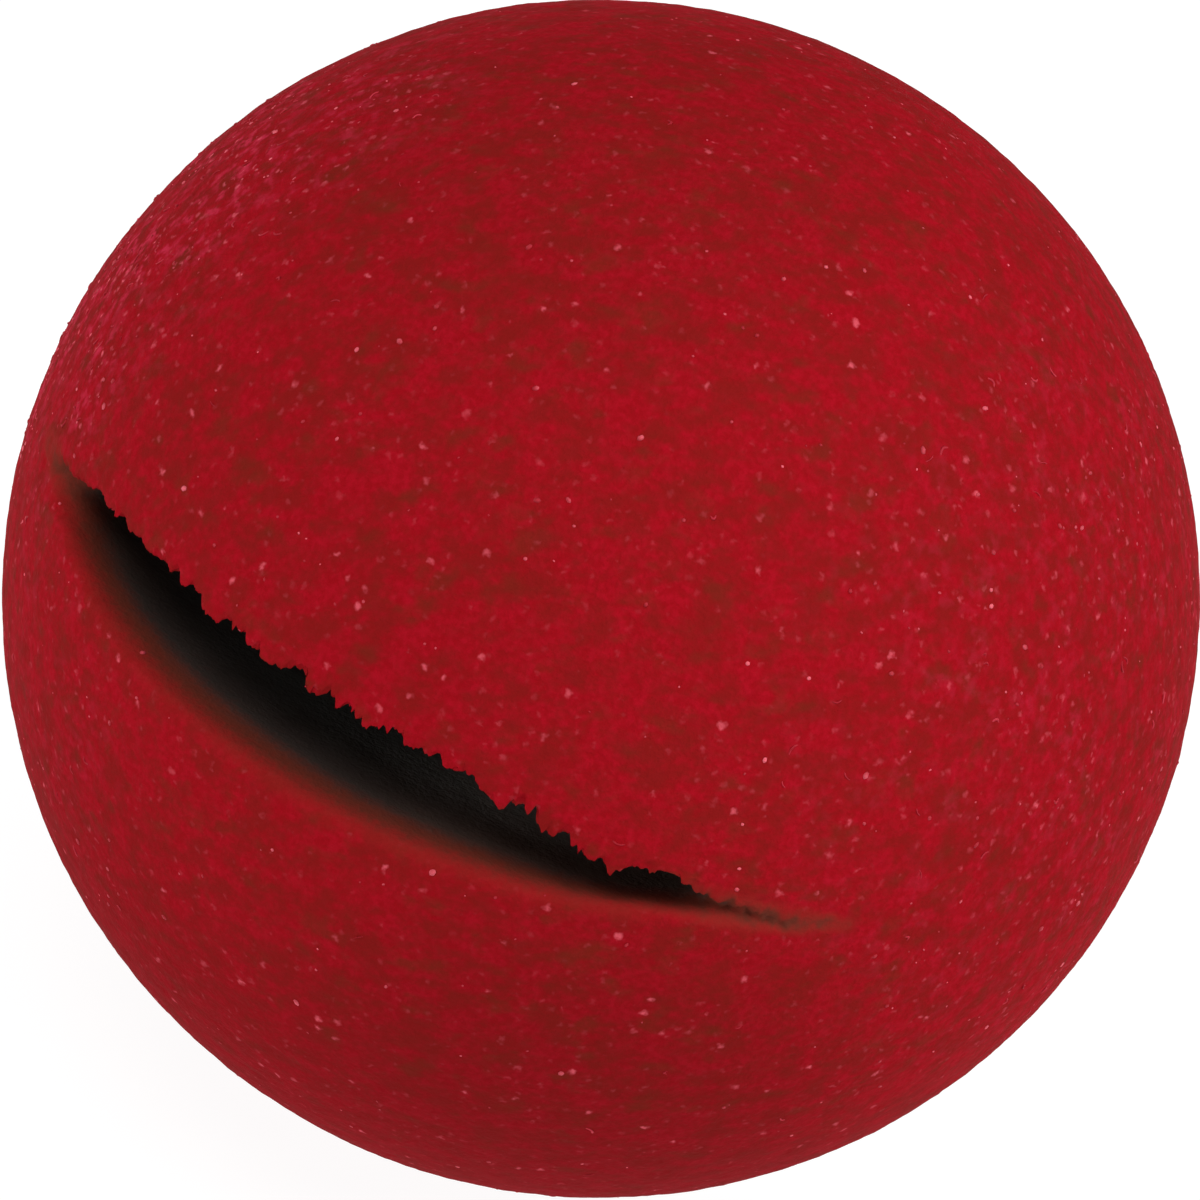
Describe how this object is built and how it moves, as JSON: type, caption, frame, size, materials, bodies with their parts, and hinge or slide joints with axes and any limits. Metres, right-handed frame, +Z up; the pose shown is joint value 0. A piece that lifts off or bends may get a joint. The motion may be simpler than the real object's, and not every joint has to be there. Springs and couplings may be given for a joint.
{
  "type": "foam clown nose",
  "caption": "Round red sponge-foam clown nose with a curved slit that opens to grip the wearer's nose.",
  "frame": {"origin": "middle of the small flat foot that the ball rests on", "axes": "+Z up through the ball's middle, -Y out of the mouth of the slit, +X along the slit towards its narrow end"},
  "size_m": [0.0498, 0.05, 0.0498],
  "materials": {
    "red_foam": "matte open-cell sponge foam"
  },
  "bodies": {
    "root": {"foam_ball": "red_foam"}
  },
  "joints": []
}
